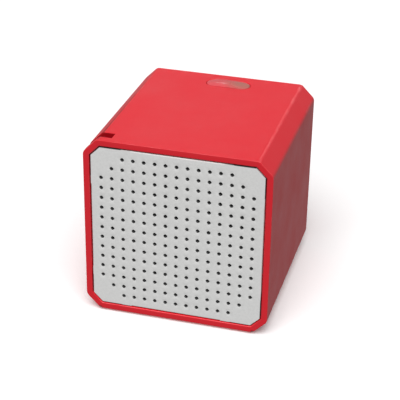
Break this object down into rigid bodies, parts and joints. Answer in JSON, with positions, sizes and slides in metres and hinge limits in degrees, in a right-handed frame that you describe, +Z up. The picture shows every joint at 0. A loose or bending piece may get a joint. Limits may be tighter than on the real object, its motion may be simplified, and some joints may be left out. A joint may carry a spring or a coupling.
{
  "type": "portable cube loudspeaker",
  "caption": "Pocket-sized cube loudspeaker with a crimson octagonal-section case, white perforated front grille, oval top button, lanyard slot, rear charging socket and power switch.",
  "frame": {"origin": "centre of the footprint, on the plane that the rubber feet stand on", "axes": "+Z up, -Y towards the grille, +Y towards the rear cover, +X to the right as seen from the front"},
  "size_m": [0.036, 0.0378, 0.0368],
  "materials": {
    "red_shell": "satin moulded ABS, crimson",
    "white_grille": "off-white powder coat on perforated steel",
    "black_cloth": "fine woven acoustic cloth",
    "adhesive": "black double-sided foam tape",
    "foam": "closed-cell foam",
    "pressed_steel": "zinc-plated pressed steel",
    "screw_steel": "black oxide steel",
    "surround_rubber": "matt butyl rubber",
    "cone_paper": "pressed paper pulp, black",
    "cap_film": "moulded polymer film",
    "former_film": "amber polyimide film",
    "coil_copper": "enamelled copper wire",
    "spider_cloth": "resin-dipped cotton",
    "magnet_plate": "nickel-plated neodymium",
    "brown_board": "phenolic laminate",
    "solder_metal": "tinned brass",
    "lead_sleeve": "silicone-insulated wire",
    "white_foam": "white foam tape",
    "cell_foil": "laminated foil pouch",
    "green_board": "solder-masked fibreglass laminate",
    "shield_can": "tinned steel can",
    "chip_resin": "moulded epoxy",
    "ceramic_white": "fired ceramic",
    "ceramic_tan": "multilayer ceramic with tinned ends",
    "lamp_resin": "clear epoxy lamp",
    "black_plastic": "black nylon",
    "button_metal": "glossy red lacquer over aluminium, partly worn to the metal",
    "capsule_metal": "drawn aluminium can",
    "boot_rubber": "moulded rubber",
    "foot_rubber": "matt silicone rubber"
  },
  "bodies": {
    "enclosure": {"housing": "red_shell", "grille": "white_grille", "grille_cloth": "black_cloth", "grille_tape": "adhesive", "driver_gasket": "foam", "driver_basket": "pressed_steel", "driver_screws": "screw_steel", "surround": "surround_rubber", "spider": "spider_cloth", "pole_plate": "pressed_steel", "magnet": "magnet_plate", "yoke": "pressed_steel", "terminal_board": "brown_board", "terminal_lugs": "solder_metal", "speaker_leads": "lead_sleeve", "battery_tape": "white_foam", "battery_cell": "cell_foil", "battery_guard_board": "green_board", "battery_leads": "lead_sleeve", "main_board": "green_board", "radio_module": "shield_can", "amplifier_chip": "chip_resin", "charger_chip": "chip_resin", "antenna": "ceramic_white", "capacitors": "ceramic_tan", "status_led": "lamp_resin", "light_pipe": "lamp_resin", "usb_shell": "shield_can", "usb_tongue": "black_plastic", "switch_case": "shield_can", "tact_switch": "black_plastic", "microphone": "capsule_metal", "microphone_boot": "boot_rubber", "microphone_leads": "lead_sleeve", "rear_cover": "red_shell", "cover_screws": "screw_steel", "feet": "foot_rubber"},
    "diaphragm": {"cone": "cone_paper", "dust_cap": "cap_film", "coil_former": "former_film", "voice_coil": "coil_copper"},
    "button": {"button_cap": "button_metal", "tact_plunger": "black_plastic"},
    "power_knob": {"switch_slider": "black_plastic"}
  },
  "joints": [
    {"name": "cone_travel", "type": "slide", "parent": "enclosure", "child": "diaphragm", "axis": [0, -1, 0], "range_m": [-0.0006, 0.0006], "stiffness_N_per_m": 1500, "deforming": ["surround", "spider"]},
    {"name": "button_press", "type": "slide", "parent": "enclosure", "child": "button", "axis": [0, 0, -1], "range_m": [0, 0.0003], "stiffness_N_per_m": 2000, "springref_m": -0.0003},
    {"name": "power_switch_slide", "type": "slide", "parent": "enclosure", "child": "power_knob", "axis": [1, 0, 0], "range_m": [0, 0.002]}
  ]
}
